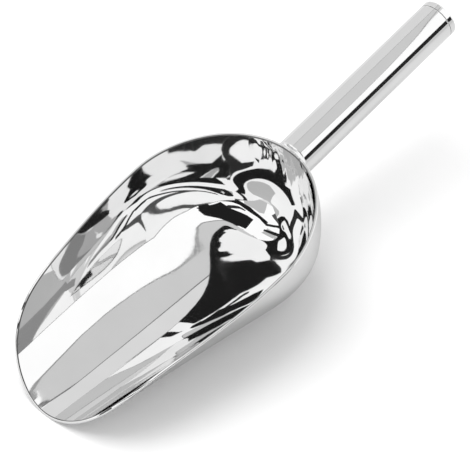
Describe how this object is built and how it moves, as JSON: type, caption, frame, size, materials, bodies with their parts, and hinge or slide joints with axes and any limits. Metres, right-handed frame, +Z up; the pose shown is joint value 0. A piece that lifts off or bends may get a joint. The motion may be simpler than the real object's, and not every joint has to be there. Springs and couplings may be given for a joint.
{
  "type": "candy scoop",
  "caption": "Polished steel scoop with a deep rounded bowl, a slanted open mouth with a smooth rim, and a round tube handle with a closed end.",
  "frame": {"origin": "on the surface that the scoop lies on, under the middle of its length and width", "axes": "+X runs from the tip of the bowl along the scoop towards the end of the handle, +Z is up with the bowl's mouth facing up, +Y completes the right-handed frame; the scoop is symmetric about Y = 0"},
  "size_m": [0.2654, 0.092, 0.0755],
  "materials": {
    "bowl_steel": "mirror-polished stainless steel sheet",
    "handle_steel": "mirror-polished stainless steel tube",
    "weld_steel": "blended and polished weld bead",
    "cap_steel": "mirror-polished stainless steel"
  },
  "bodies": {
    "root": {"scoop_bowl": "bowl_steel", "handle_tube": "handle_steel", "neck_weld": "weld_steel", "end_cap": "cap_steel"}
  },
  "joints": []
}
